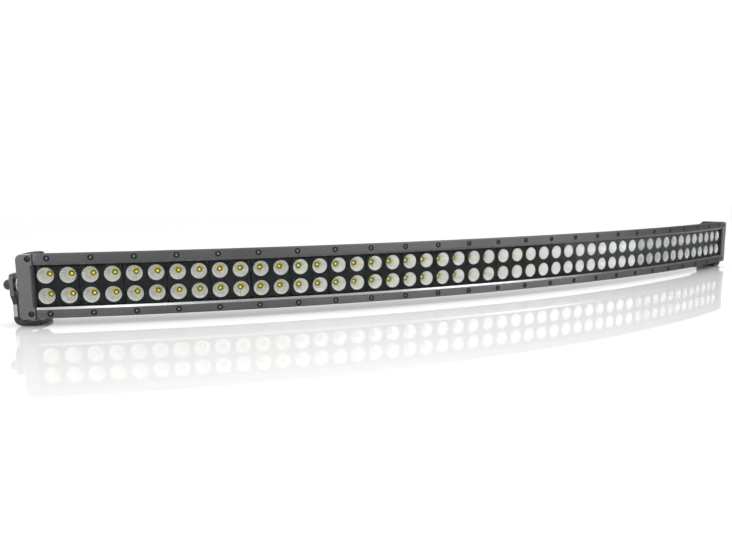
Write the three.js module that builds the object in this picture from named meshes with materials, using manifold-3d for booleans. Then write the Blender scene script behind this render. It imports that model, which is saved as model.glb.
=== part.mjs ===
// Curved double-row LED light bar, nominal 50 inch.
// A curved aluminium housing with cooling fins carries two bezel rails, a clear lens, 24 two-by-two reflector
// modules over six LED boards, a driver board in each half of the rear wiring channel, cast end caps with their
// gaskets, and a tilting steel bracket at each end on an M8 bolt.
//
// Units are millimetres, +Z up. X runs along the bar, -Y is the side that the light leaves from. The origin is the
// middle of the box round the whole bar, on the plane that the bracket feet stand on.
//
// Section coordinates used below: d is the depth behind the front plane of the bezel, z is the height above the
// middle of the section, and s is the arc length along the front plane. End parts use u, outwards from the rail end.
import * as THREE from "three";
import { mergeVertices } from "three/addons/utils/BufferGeometryUtils.js";
import Module from "manifold-3d";

const wasm = await Module();
wasm.setup();

// ---- driving dimensions ----
const RADIUS = 2016.4; // bend radius of the front plane
const LED_PITCH = 25.4; // column pitch at the reflector face
const ROW_PITCH = 24.8; // between the two rows
const COLUMNS = 48;
const MODULE_COLUMNS = 2;
const BAR_HALF_HEIGHT = 39;
const WINDOW_HALF = 25.4;
const FACE_DEPTH = 4.4; // reflector face behind the bezel front
const REFLECTOR_BACK = 22.9;
const CUP_MOUTH_R = 10.2;
const CUP_THROAT_R = 4.1;
const BOARD_FRONT = 23.2;
const BOARD_BACK = 24.7;
const BASE_FRONT = 25;
const BASE_BACK = 29;
const FIN_TIP = 54;
const CAP_DEPTH = 56;
const RAIL_END = 608; // arc length from the middle to a rail's end, at the reflector face
const GASKET_T = 1.2;
const CAP_U0 = 1.8;
const CAP_U1 = 19.7;
const BOSS_R = 9.6;
const BOSS_U = 22.9; // outer face of the pivot boss
const PIVOT_D = 18.5;
const PIVOT_Z = 0.8;
const M8_R = 4;
const BRACKET_T = 4.6;
const BRACKET_D0 = 11;
const BRACKET_D1 = 53;
const FOOT_BOTTOM = -48.6;
const CAP_SCREW_U = 6.2;
const GLAND_S = 470; // arc position of the cable gland
const VENT_S = -470; // arc position of the breather vent
const Y_SHIFT = -75.52; // puts the origin in the middle of the box in Y

const FACE_R = RADIUS - FACE_DEPTH;
const END_ANGLE = RAIL_END / FACE_R;

// ---- materials ----
const finish = (color, roughness, metalness, extra = {}) =>
  new THREE.MeshStandardMaterial({ color, roughness, metalness, ...extra });
const M = {
  rail: finish(0x5c5d5b, 0.42, 0.85),
  housing: finish(0x232424, 0.5, 0.6),
  cap: finish(0x595a58, 0.45, 0.8),
  lens: finish(0xf2f6f8, 0.04, 0, { transparent: true, opacity: 0.25 }),
  reflector: finish(0x191a1b, 0.3, 0.1),
  board: finish(0xe9e9e2, 0.55, 0),
  driver: finish(0x1f5c3a, 0.6, 0),
  rubber: finish(0x0f0f10, 0.85, 0),
  bracket: finish(0x3a3b3b, 0.4, 0.7),
  steel: finish(0xb9bbbc, 0.28, 1),
  screw: finish(0x2b2b2c, 0.3, 0.9),
  gland: finish(0x141415, 0.6, 0),
};

// ---- manifold helpers ----
const solid = (geometry) => {
  const g = geometry.index ? geometry.toNonIndexed() : geometry.clone();
  for (const name of Object.keys(g.attributes))
    if (name !== "position") g.deleteAttribute(name);
  const m = mergeVertices(g, 1e-4);
  return new wasm.Manifold(
    new wasm.Mesh({
      numProp: 3,
      vertProperties: new Float32Array(m.attributes.position.array),
      triVerts: new Uint32Array(m.index.array),
    }),
  );
};
const geometryOf = (manifold) => {
  const mesh = manifold.getMesh();
  const n = mesh.numProp;
  const v = new Float32Array(mesh.numVert * 3);
  for (let i = 0; i < mesh.numVert; i++)
    v.set(mesh.vertProperties.subarray(i * n, i * n + 3), i * 3);
  const g = new THREE.BufferGeometry();
  g.setAttribute("position", new THREE.BufferAttribute(v, 3));
  g.setIndex(new THREE.BufferAttribute(new Uint32Array(mesh.triVerts), 1));
  return g;
};
const cut = (geometry, ...tools) =>
  geometryOf(tools.reduce((a, t) => a.subtract(solid(t)), solid(geometry)));
const join = (geometry, ...others) =>
  geometryOf(others.reduce((a, t) => a.add(solid(t)), solid(geometry)));
const common = (a, b) => geometryOf(solid(a).intersect(solid(b)));

// ---- shape helpers ----
// A section point carried to the arc: angle a from the middle, depth d, height z.
const onArc = (a, d, z) => [
  (RADIUS - d) * Math.sin(a),
  RADIUS - (RADIUS - d) * Math.cos(a),
  z,
];

// Sweeps a closed (d, z) outline, with holes, along the arc from angle a0 to a1 in n steps.
function sweep(outline, holes, a0, a1, n) {
  const rings = [outline, ...holes].map((ring) =>
    ring.map(([d, z]) => new THREE.Vector2(d, z)),
  );
  if (THREE.ShapeUtils.isClockWise(rings[0])) rings[0].reverse();
  for (const h of rings.slice(1))
    if (!THREE.ShapeUtils.isClockWise(h)) h.reverse();
  const faces = THREE.ShapeUtils.triangulateShape(rings[0], rings.slice(1));
  const flat = rings.flat();
  const count = flat.length;
  const position = [];
  for (let i = 0; i <= n; i++) {
    const a = a0 + ((a1 - a0) * i) / n;
    for (const p of flat) position.push(...onArc(a, p.x, p.y));
  }
  // The section's d axis points back (+Y) and z up, so its counter-clockwise side faces -X at the start.
  const index = [];
  for (const [a, b, c] of faces) {
    index.push(a, c, b);
    const o = n * count;
    index.push(o + a, o + b, o + c);
  }
  for (let i = 0; i < n; i++) {
    let start = 0;
    for (const ring of rings) {
      for (let k = 0; k < ring.length; k++) {
        const p = i * count + start + k;
        const q = i * count + start + ((k + 1) % ring.length);
        index.push(p, q, p + count, q, q + count, p + count);
      }
      start += ring.length;
    }
  }
  const g = new THREE.BufferGeometry();
  g.setAttribute("position", new THREE.Float32BufferAttribute(position, 3));
  g.setIndex(index);
  return solid(g).volume() < 0 ? flipped(g) : g;
}
function flipped(g) {
  const i = g.index.array.slice();
  for (let k = 0; k < i.length; k += 3) [i[k + 1], i[k + 2]] = [i[k + 2], i[k + 1]];
  g.setIndex(new THREE.BufferAttribute(i, 1));
  return g;
}
const mirroredZ = (points) => points.map(([d, z]) => [d, -z]);
const box = (x0, x1, y0, y1, z0, z1) =>
  new THREE.BoxGeometry(x1 - x0, y1 - y0, z1 - z0).translate(
    (x0 + x1) / 2,
    (y0 + y1) / 2,
    (z0 + z1) / 2,
  );
// Prism of a flat outline: points are (a, b) in the plane named, extruded along the third axis from t0 to t1.
function prism(points, plane, t0, t1) {
  const shape = new THREE.Shape(points.map(([a, b]) => new THREE.Vector2(a, b)));
  const g = new THREE.ExtrudeGeometry(shape, {
    depth: t1 - t0,
    bevelEnabled: false,
    curveSegments: 8,
  });
  g.translate(0, 0, t0);
  // (a, b, t) to the axes of the plane
  const basis = {
    xz: [new THREE.Vector3(1, 0, 0), new THREE.Vector3(0, 0, 1), new THREE.Vector3(0, 1, 0)],
    yz: [new THREE.Vector3(0, 1, 0), new THREE.Vector3(0, 0, 1), new THREE.Vector3(1, 0, 0)],
    xy: [new THREE.Vector3(1, 0, 0), new THREE.Vector3(0, 1, 0), new THREE.Vector3(0, 0, 1)],
  }[plane];
  g.applyMatrix4(new THREE.Matrix4().makeBasis(...basis));
  const m = g.index ? g : mergeVertices(stripped(g), 1e-4);
  return solid(m).volume() < 0 ? flipped(mergeVertices(stripped(m), 1e-4)) : m;
}
function stripped(g) {
  const c = g.index ? g.toNonIndexed() : g.clone();
  for (const name of Object.keys(c.attributes))
    if (name !== "position") c.deleteAttribute(name);
  return c;
}
// Solid of revolution about an axis along +Y (the profile's second number runs along it).
const turnedY = (profile, segments, x, y, z) =>
  new THREE.LatheGeometry(
    profile.map(([r, h]) => new THREE.Vector2(r, h)),
    segments,
  ).translate(x, y, z);
// The same about an axis along +X.
const turnedX = (profile, segments, x, y, z) =>
  new THREE.LatheGeometry(
    profile.map(([r, h]) => new THREE.Vector2(r, h)),
    segments,
  )
    .rotateZ(-Math.PI / 2)
    .translate(x, y, z);
const facing = (g) => {
  const m = mergeVertices(stripped(g), 1e-4);
  return solid(m).volume() < 0 ? flipped(m) : m;
};
const arcPoints = (cx, cy, r, from, to, n) =>
  Array.from({ length: n + 1 }, (_, i) => {
    const a = ((from + ((to - from) * i) / n) * Math.PI) / 180;
    return [cx + r * Math.cos(a), cy + r * Math.sin(a)];
  });

// ---- the object ----
const bar = new THREE.Group();
bar.position.set(0, Y_SHIFT, -FOOT_BOTTOM);
const add = (parent, name, geometry, material) => {
  const mesh = new THREE.Mesh(geometry, material);
  mesh.name = name;
  parent.add(mesh);
  return mesh;
};

// Housing: tray in front, fins behind, with a closed wiring channel between them.
const upperHousing = [
  [8.3, WINDOW_HALF],
  [8.3, 38.4],
  [13, 38.4],
  [13, 35],
  [18, 33.6],
  [43.8, 31],
  [45, 29.9],
  [45, 29],
  [BASE_BACK, 28.4],
  [BASE_BACK, 23.6],
  [50, 23.2],
  [50, 21.6],
  [BASE_BACK, 21.2],
  [BASE_BACK, 17.2],
  [FIN_TIP, 16.8],
  [FIN_TIP, 15.2],
  [BASE_BACK, 14.8],
  [BASE_BACK, 10.5],
  [46, 10.5],
];
const housingOutline = [
  [BASE_FRONT, WINDOW_HALF],
  ...upperHousing,
  ...mirroredZ(upperHousing).reverse(),
  [BASE_FRONT, -WINDOW_HALF],
];
const channel = [
  [BASE_BACK, -8.3],
  [43.6, -8.3],
  [43.6, 8.3],
  [BASE_BACK, 8.3],
];
// Frame of a point on the arc: x along the bar, y back, origin on the front plane.
const station = (angle) => {
  const g = new THREE.Group();
  g.position.set(...onArc(angle, 0, 0));
  g.rotation.z = angle;
  return g;
};
const atStation = (geometry, angle) => {
  const g = station(angle);
  g.updateMatrix();
  return geometry.applyMatrix4(g.matrix);
};
const glandHole = atStation(
  facing(turnedY([[0, 42], [6.2, 42], [6.2, 48], [0, 48]], 16, 0, 0, 0)),
  GLAND_S / RADIUS,
);
const ventHole = atStation(
  facing(turnedY([[0, 42], [4.2, 42], [4.2, 48], [0, 48]], 12, 0, 0, 0)),
  VENT_S / RADIUS,
);
add(
  bar,
  "housing",
  cut(
    sweep(housingOutline, [channel], -END_ANGLE, END_ANGLE, 24),
    glandHole,
    ventHole,
  ),
  M.housing,
);

// Bezel rails: a bevelled lip holds the lens down.
const upperRail = [
  [1.6, WINDOW_HALF],
  [1.3, WINDOW_HALF],
  [0, 28.2],
  [0, BAR_HALF_HEIGHT - 0.7],
  [0.7, BAR_HALF_HEIGHT],
  [8, BAR_HALF_HEIGHT],
  [8, 31.2],
  [1.6, 31.2],
];
add(bar, "bezel_rail_upper", sweep(upperRail, [], -END_ANGLE, END_ANGLE, 24), M.rail);
add(bar, "bezel_rail_lower", sweep(mirroredZ(upperRail), [], -END_ANGLE, END_ANGLE, 24), M.rail);

// Lens and its two gasket strips.
add(
  bar,
  "lens",
  sweep([[1.9, -30.8], [4.1, -30.8], [4.1, 30.8], [1.9, 30.8]], [], -END_ANGLE, END_ANGLE, 24),
  M.lens,
);
const strip = [[4.4, 25.7], [8, 25.7], [8, 30.9], [4.4, 30.9]];
add(bar, "lens_gasket_upper", sweep(strip, [], -END_ANGLE, END_ANGLE, 24), M.rubber);
add(bar, "lens_gasket_lower", sweep(mirroredZ(strip), [], -END_ANGLE, END_ANGLE, 24), M.rubber);

// Reflector module: a face plate with four cups, each in a square tapered wall.
function reflector() {
  const half = (MODULE_COLUMNS * LED_PITCH) / 2 - 0.25;
  const plate = solid(box(-half, half, FACE_DEPTH, FACE_DEPTH + 2.6, -24.9, 24.9));
  const cupProfile = [
    [0, FACE_DEPTH - 1],
    [CUP_MOUTH_R, FACE_DEPTH - 1],
    [CUP_MOUTH_R, FACE_DEPTH],
    [CUP_THROAT_R, REFLECTOR_BACK - 1.4],
    [CUP_THROAT_R, REFLECTOR_BACK + 1],
    [0, REFLECTOR_BACK + 1],
  ];
  let body = plate;
  const cups = [];
  for (const x of [-LED_PITCH / 2, LED_PITCH / 2])
    for (const z of [-ROW_PITCH / 2, ROW_PITCH / 2]) {
      const outer = new THREE.CylinderGeometry(
        11.6 * Math.SQRT2,
        6.2 * Math.SQRT2,
        REFLECTOR_BACK - FACE_DEPTH - 1,
        4,
        1,
      )
        .rotateY(Math.PI / 4)
        .rotateX(Math.PI)
        .translate(x, (FACE_DEPTH + 1 + REFLECTOR_BACK) / 2, z);
      body = body.add(solid(outer));
      cups.push(facing(turnedY(cupProfile, 8, x, 0, z)));
    }
  for (const c of cups) body = body.subtract(solid(c));
  return geometryOf(body);
}
const reflectorGeometry = reflector();
const modules = COLUMNS / MODULE_COLUMNS;
// the two outermost modules are trimmed short of the rails' ends
const endModuleHalf = RAIL_END - ((modules - 1) / 2) * MODULE_COLUMNS * LED_PITCH - 0.35;
const trimmedReflector = (x0, x1) => common(reflectorGeometry, box(x0, x1, -10, 60, -60, 60));
const firstReflector = trimmedReflector(-endModuleHalf, 60);
const lastReflector = trimmedReflector(-60, endModuleHalf);
for (let m = 0; m < modules; m++) {
  const g = station(((m - (modules - 1) / 2) * MODULE_COLUMNS * LED_PITCH) / FACE_R);
  bar.add(g);
  const geometry = m === 0 ? firstReflector : m === modules - 1 ? lastReflector : reflectorGeometry;
  add(g, "reflector_" + String(m + 1).padStart(2, "0"), geometry, M.reflector);
}

// LED boards: six curved aluminium boards with sixteen emitters each.
const BOARDS = 6;
const perBoard = COLUMNS / BOARDS;
for (let b = 0; b < BOARDS; b++) {
  const end = RAIL_END - 0.4;
  const a0 = Math.max((b - BOARDS / 2) * perBoard * LED_PITCH + 0.4, -end) / FACE_R;
  const a1 = Math.min((b + 1 - BOARDS / 2) * perBoard * LED_PITCH - 0.4, end) / FACE_R;
  let board = solid(
    sweep([[BOARD_FRONT, -24.5], [BOARD_BACK, -24.5], [BOARD_BACK, 24.5], [BOARD_FRONT, 24.5]], [], a0, a1, 4),
  );
  for (let c = 0; c < perBoard; c++)
    for (const z of [-ROW_PITCH / 2, ROW_PITCH / 2]) {
      const column = b * perBoard + c;
      const angle = ((column - (COLUMNS - 1) / 2) * LED_PITCH) / FACE_R;
      board = board.add(
        solid(atStation(box(-2.5, 2.5, BOARD_FRONT - 1.5, BOARD_FRONT + 0.6, z - 2.5, z + 2.5), angle)),
      );
    }
  add(bar, "led_board_" + (b + 1), geometryOf(board), M.board);
}

// Driver boards in the wiring channel, with their inductor, capacitors and controller.
for (const [name, s] of [["driver_board_left", -250], ["driver_board_right", 250]]) {
  const g = station(s / RADIUS);
  bar.add(g);
  add(
    g,
    name,
    join(
      box(-70, 70, 31.8, 33.4, -7.2, 7.2),
      box(-58, -44, 33, 40.4, -6, 6),
      facing(turnedY([[0, 33], [4, 33], [4, 41.4], [0, 41.4]], 10, -30, 0, 0)),
      facing(turnedY([[0, 33], [4, 33], [4, 41.4], [0, 41.4]], 10, -18, 0, 0)),
      box(4, 16, 33, 35.4, -5, 5),
      box(30, 38, 33, 36, -4, 4),
      box(54, 64, 33, 39, -6.5, 6.5),
    ),
    M.driver,
  );
}

// Cable gland and breather vent on the back wall of the channel.
{
  const g = station(GLAND_S / RADIUS);
  bar.add(g);
  const gland = facing(
    turnedY(
      [[0, 42], [5.9, 42], [5.9, 46.3], [9.6, 46.3], [9.6, 50.5], [7.2, 50.5], [7.2, 56], [0, 56]],
      16, 0, 0, 0,
    ),
  );
  add(g, "cable_gland_body", gland, M.gland);
  const cap = facing(
    turnedY(
      [[0, 56.3], [7.5, 56.3], [7.5, 50.9], [9.4, 50.9], [9.4, 58.5], [7, 62], [4.2, 62], [4.2, 60.5], [0, 60.5]],
      12, 0, 0, 0,
    ),
  );
  add(g, "cable_gland_nut", cap, M.gland);
  const v = station(VENT_S / RADIUS);
  bar.add(v);
  add(
    v,
    "breather_vent",
    facing(turnedY([[0, 42], [3.9, 42], [3.9, 46.3], [8, 46.3], [8, 50.4], [6.6, 52], [0, 52]], 12, 0, 0, 0)),
    M.gland,
  );
}

// ---- end parts, built for the right end and mirrored for the left ----
const capSide = [
  [0, 38.4],
  [0.6, BAR_HALF_HEIGHT],
  [37.5, BAR_HALF_HEIGHT],
  [42, 34.6],
  [50, 31.8],
  [CAP_DEPTH, 27.5],
];
const capSideOutline = [...capSide, ...mirroredZ(capSide).reverse()];
// Seen from above (u, d): the outer side tapers inwards to the rear.
const capPlan = [
  [CAP_U0, -1],
  [CAP_U1 - 0.8, -1],
  [CAP_U1 - 0.8, 0],
  [CAP_U1, 0.8],
  [16.4, 14],
  [6.8, 46],
  [5.4, CAP_DEPTH + 1],
  [CAP_U0, CAP_DEPTH + 1],
];
const capFrontOutline = [
  [CAP_U0, -40],
  ...arcPoints(CAP_U1 - 5.5, -BAR_HALF_HEIGHT + 5.5, 5.5, -90, 0, 5),
  ...arcPoints(CAP_U1 - 5.5, BAR_HALF_HEIGHT - 5.5, 5.5, 0, 90, 5),
  [CAP_U0, 40],
];
function endCap() {
  const front = prism(capFrontOutline, "xz", -1, CAP_DEPTH + 1);
  const side = prism(capSideOutline, "yz", CAP_U0, CAP_U1 + 1);
  const plan = prism(capPlan, "xy", -45, 45);
  let body = solid(front).intersect(solid(side)).intersect(solid(plan));
  body = body.add(
    solid(facing(turnedX([[0, 7], [BOSS_R, 7], [BOSS_R, BOSS_U - 0.6], [BOSS_R - 0.6, BOSS_U], [0, BOSS_U]], 20, 0, PIVOT_D, PIVOT_Z))),
  );
  // wiring pocket, open to the housing
  body = body.subtract(solid(box(CAP_U0 - 1, 5, 10, 40, -24, 24)));
  // blind tapping hole for the pivot bolt
  body = body.subtract(
    solid(facing(turnedX([[0, 8.4], [M8_R + 0.3, 8.4], [M8_R + 0.3, 40], [0, 40]], 12, 0, PIVOT_D, PIVOT_Z))),
  );
  // bevel along the window edge, and the two front screw seats
  const bevel = prism([[CAP_U0 - 1, -1], [CAP_U0 + 2.2, -1], [CAP_U0 + 2.2, 0], [CAP_U0, 2.2], [CAP_U0 - 1, 2.2]], "xy", -WINDOW_HALF, WINDOW_HALF);
  body = body.subtract(solid(bevel));
  for (const z of [-33, 33])
    body = body.subtract(
      solid(facing(turnedY([[0, -1], [3.6, -1], [3.6, 1.2], [2.2, 1.2], [2.2, 8.6], [0, 8.6]], 12, CAP_SCREW_U, 0, z))),
    );
  return geometryOf(body);
}
function endGasket() {
  const shrink = ([d, z]) => [Math.min(Math.max(d, 0.8), CAP_DEPTH - 1.2), z * 0.985];
  const outer = solid(prism(capSideOutline.map(shrink), "yz", 0.3, 0.3 + GASKET_T));
  return geometryOf(outer.subtract(solid(box(-1, 3, 11, 42, -25, 25))));
}
const washer = (r0, r1, t0, t1) =>
  facing(turnedX([[r0, t0], [r1, t0], [r1, t1], [r0, t1], [r0, t0]], 20, 0, PIVOT_D, PIVOT_Z));

// Bracket profile across the bar (u, z): upright with a joggle, a bend and a foot.
const U_UP = 28.4; // inner face of the upright's top part
const U_LOW = 25.9; // inner face of its lower part
const footTop = FOOT_BOTTOM + BRACKET_T;
const bracketProfile = [
  [U_UP, 14],
  [U_UP, -10],
  [U_LOW, -19.5],
  ...arcPoints(U_LOW - 4.4, FOOT_BOTTOM + 9, 4.4, 0, -90, 4),
  [-6, footTop],
  [-6, FOOT_BOTTOM],
  ...arcPoints(U_LOW - 4.4, FOOT_BOTTOM + 9, 9, -90, 0, 6),
  [U_LOW + BRACKET_T, -20.5],
  [U_UP + BRACKET_T, -11],
  [U_UP + BRACKET_T, 14],
];
function bracket() {
  let body = solid(prism(bracketProfile, "xz", BRACKET_D0, BRACKET_D1));
  // seen from the end (d, z): the upright narrows towards the pivot
  const endView = [
    [BRACKET_D0, FOOT_BOTTOM - 1],
    [BRACKET_D1, FOOT_BOTTOM - 1],
    [BRACKET_D1, -34],
    [35, -12],
    ...arcPoints(29, 8, 6, 0, 90, 3),
    ...arcPoints(BRACKET_D0 + 5, 9, 5, 90, 180, 3),
  ];
  body = body.intersect(solid(prism(endView, "yz", -10, 60)));
  // seen from above (u, d): the foot's inner end is a shallow curve
  const plan = [
    [60, BRACKET_D0 - 1],
    [1.2, BRACKET_D0 - 1],
    [1.2, BRACKET_D0],
    [0.4, 17],
    [-0.6, 25],
    [-1.1, 33],
    [-1.2, 41],
    [-0.6, 48],
    [0.4, BRACKET_D1],
    [0.4, BRACKET_D1 + 1],
    [60, BRACKET_D1 + 1],
  ];
  body = body.intersect(solid(prism(plan, "xy", FOOT_BOTTOM - 2, 20)));
  // pivot hole
  body = body.subtract(
    solid(facing(turnedX([[0, 20], [M8_R + 0.4, 20], [M8_R + 0.4, 45], [0, 45]], 16, 0, PIVOT_D, PIVOT_Z))),
  );
  // slotted fixing hole in the foot, 9 by 20
  const slot = [
    ...arcPoints(10, 26.5, 4.5, 180, 360, 6),
    ...arcPoints(10, 37.5, 4.5, 0, 180, 6),
  ];
  body = body.subtract(solid(prism(slot, "xy", FOOT_BOTTOM - 1, footTop + 1)));
  return geometryOf(body);
}
function pivotBolt() {
  const head = facing(
    turnedX([[0, 9], [M8_R, 9], [M8_R, 35.2], [6.5, 35.2], [6.5, 37], [5.9, 39], [4.6, 40.6], [3, 41.4], [0, 41.4]], 16, 0, PIVOT_D, PIVOT_Z),
  );
  const socket = new THREE.CylinderGeometry(2.9, 2.9, 3, 6)
    .rotateZ(-Math.PI / 2)
    .translate(40.9, PIVOT_D, PIVOT_Z);
  return cut(head, socket);
}
function frontScrew(z) {
  const body = facing(
    turnedY([[0, -0.9], [1.6, -0.8], [2.6, -0.2], [2.85, 0.9], [1.9, 0.9], [1.9, 8], [0, 8]], 12, CAP_SCREW_U, 0, z),
  );
  const socket = new THREE.CylinderGeometry(1.3, 1.3, 3, 6).translate(CAP_SCREW_U, -0.4, z);
  return cut(body, socket);
}
const capGeometry = endCap();
const gasketGeometry = endGasket();
const bracketGeometry = bracket();
const boltGeometry = pivotBolt();
for (const [side, mirror] of [["right", 1], ["left", -1]]) {
  const half = new THREE.Group();
  half.scale.x = mirror;
  bar.add(half);
  const end = station(END_ANGLE);
  half.add(end);
  add(end, "end_gasket_" + side, gasketGeometry, M.rubber);
  add(end, "end_cap_" + side, capGeometry, M.cap);
  add(end, "bracket_" + side, bracketGeometry, M.bracket);
  add(end, "pivot_bolt_" + side, boltGeometry, M.steel);
  const face = BOSS_U;
  add(end, "pivot_washer_inner_" + side, washer(M8_R + 0.3, 9.2, face + 0.3, face + 2), M.steel);
  add(end, "pivot_bush_" + side, washer(M8_R + 0.3, 7.5, face + 2.3, U_UP - 0.3), M.rubber);
  add(end, "pivot_washer_outer_" + side, washer(M8_R + 0.3, 7.2, U_UP + BRACKET_T + 0.3, 34.9), M.steel);
  add(end, "cap_screw_upper_" + side, frontScrew(33), M.screw);
  add(end, "cap_screw_lower_" + side, frontScrew(-33), M.screw);
}

export default bar;
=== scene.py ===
import math

import bmesh
import bpy
from mathutils import Matrix, Vector
from mathutils.geometry import tessellate_polygon


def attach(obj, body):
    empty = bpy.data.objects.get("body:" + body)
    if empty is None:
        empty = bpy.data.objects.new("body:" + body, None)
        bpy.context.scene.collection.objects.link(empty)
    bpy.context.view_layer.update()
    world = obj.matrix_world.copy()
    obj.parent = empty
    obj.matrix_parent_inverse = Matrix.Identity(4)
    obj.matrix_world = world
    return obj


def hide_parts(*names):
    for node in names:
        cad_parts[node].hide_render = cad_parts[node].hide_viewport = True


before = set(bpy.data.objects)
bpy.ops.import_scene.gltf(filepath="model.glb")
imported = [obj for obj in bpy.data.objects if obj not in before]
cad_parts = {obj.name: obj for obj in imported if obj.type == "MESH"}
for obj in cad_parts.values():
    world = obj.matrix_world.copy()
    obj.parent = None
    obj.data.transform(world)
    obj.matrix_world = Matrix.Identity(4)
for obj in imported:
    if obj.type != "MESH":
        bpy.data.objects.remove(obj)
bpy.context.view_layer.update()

# ---- dimensions shared with the CAD part, in millimetres ----
RADIUS = 2016.4
FACE_DEPTH = 4.4
FACE_R = RADIUS - FACE_DEPTH
END = 608.0 / FACE_R
LED_PITCH = 25.4
ROW_PITCH = 24.8
COLUMNS = 48
Y_SHIFT = -75.52
Z_SHIFT = 48.6
HALF_H = 39.0
WINDOW = 25.4
BOARD_FRONT = 23.2
CAP_U0, CAP_U1, CAP_DEPTH = 1.8, 19.7, 56.0
CAP_SCREW_U = 6.2
BOSS_R, BOSS_U = 9.6, 22.9
PIVOT_D, PIVOT_Z = 18.5, 0.8
U_UP, U_LOW, BRACKET_T = 28.4, 25.9, 4.6
BRACKET_D0, BRACKET_D1 = 11.0, 53.0
FOOT_BOTTOM = -48.6
FOOT_TOP = FOOT_BOTTOM + BRACKET_T
GLAND_S, VENT_S = 470.0, -470.0
SCREW_PITCH, SCREW_Z = 49.4, 33.4
MM = 0.001


# ---- placing points ----
def on_arc(a, d, z):
    return Vector(
        (
            (RADIUS - d) * math.sin(a) * MM,
            (RADIUS - (RADIUS - d) * math.cos(a) + Y_SHIFT) * MM,
            (z + Z_SHIFT) * MM,
        )
    )


def station(a):
    """Matrix from (x along, d back, z up) in millimetres at arc angle a to the row frame in metres."""
    m = Matrix.Rotation(a, 4, "Z")
    m.translation = on_arc(a, 0, 0)
    return m @ Matrix.Scale(MM, 4)


def end_map(side):
    m = station(END)
    if side < 0:
        m = Matrix.Diagonal((-1, 1, 1, 1)) @ m
    return m


# ---- mesh helpers ----
def link(name, me, body, materials, replaces=(), angle=32.0):
    ob = bpy.data.objects.new(name, me)
    bpy.context.scene.collection.objects.link(ob)
    if not me.materials:
        for m in materials:
            me.materials.append(m)
    me.polygons.foreach_set("use_smooth", [True] * len(me.polygons))
    me.set_sharp_from_angle(angle=math.radians(angle))
    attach(ob, body)
    if replaces:
        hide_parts(*replaces)
    return ob


def new_mesh(name, verts, faces, mats=None):
    me = bpy.data.meshes.new(name)
    me.from_pydata([tuple(v) for v in verts], [], [tuple(f) for f in faces])
    if mats is not None:
        me.polygons.foreach_set("material_index", mats)
    me.validate()
    me.update()
    return me


def outward(me):
    bm = bmesh.new()
    bm.from_mesh(me)
    bmesh.ops.remove_doubles(bm, verts=bm.verts, dist=1e-7 if max(v.co.length for v in bm.verts) < 5 else 1e-4)
    bmesh.ops.recalc_face_normals(bm, faces=bm.faces)
    bm.to_mesh(me)
    bm.free()
    return me


def arc(cx, cy, r, a0, a1, n):
    return [
        (
            cx + r * math.cos(math.radians(a0 + (a1 - a0) * i / n)),
            cy + r * math.sin(math.radians(a0 + (a1 - a0) * i / n)),
        )
        for i in range(n + 1)
    ]


def rounded(points, radii, n=4):
    """A closed outline with each corner rounded by its radius."""
    out = []
    count = len(points)
    for i, (p, r) in enumerate(zip(points, radii)):
        if r <= 0:
            out.append(p)
            continue
        p = Vector(p)
        a = Vector(points[i - 1]) - p
        b = Vector(points[(i + 1) % count]) - p
        la, lb = a.length, b.length
        a.normalize()
        b.normalize()
        half = math.acos(max(-1, min(1, a.dot(b)))) / 2
        t = min(r / math.tan(half), 0.48 * la, 0.48 * lb)
        r = t * math.tan(half)
        c = p + (a + b).normalized() * (r / math.sin(half))
        s, e = p + a * t - c, p + b * t - c
        turn = math.atan2(s.x * e.y - s.y * e.x, s.dot(e))
        for k in range(n + 1):
            g = turn * k / n
            out.append(
                (
                    c.x + s.x * math.cos(g) - s.y * math.sin(g),
                    c.y + s.x * math.sin(g) + s.y * math.cos(g),
                )
            )
    return out


def sweep(name, outline, s0, s1, n, holes=()):
    """Sweeps a closed (d, z) outline along the arc. s0 and s1 are angles."""
    rings = [list(outline)] + [list(h) for h in holes]
    verts, faces = [], []
    flat = [p for ring in rings for p in ring]
    count = len(flat)
    for i in range(n + 1):
        a = s0 + (s1 - s0) * i / n
        verts += [on_arc(a, d, z) for d, z in flat]
    for i in range(n):
        start = 0
        for ring in rings:
            m = len(ring)
            for k in range(m):
                p, q = i * count + start + k, i * count + start + (k + 1) % m
                faces.append((p, q, q + count, p + count))
            start += m
    tris = tessellate_polygon([[Vector((d, z, 0)) for d, z in ring] for ring in rings])
    for t in tris:
        faces.append(t)
        faces.append(tuple(v + n * count for v in t))
    return outward(new_mesh(name, verts, faces))


def prism(points, plane, t0, t1):
    """Closed prism of a flat outline, in millimetres; plane names the outline's two axes."""
    place = {
        "xz": lambda a, b, t: (a, t, b),
        "yz": lambda a, b, t: (t, a, b),
        "xy": lambda a, b, t: (a, b, t),
    }[plane]
    n = len(points)
    verts = [place(a, b, t0) for a, b in points] + [place(a, b, t1) for a, b in points]
    faces = [tuple(range(n)), tuple(range(2 * n - 1, n - 1, -1))]
    faces += [(k, (k + 1) % n, (k + 1) % n + n, k + n) for k in range(n)]
    return outward(new_mesh("prism", verts, faces))


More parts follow.
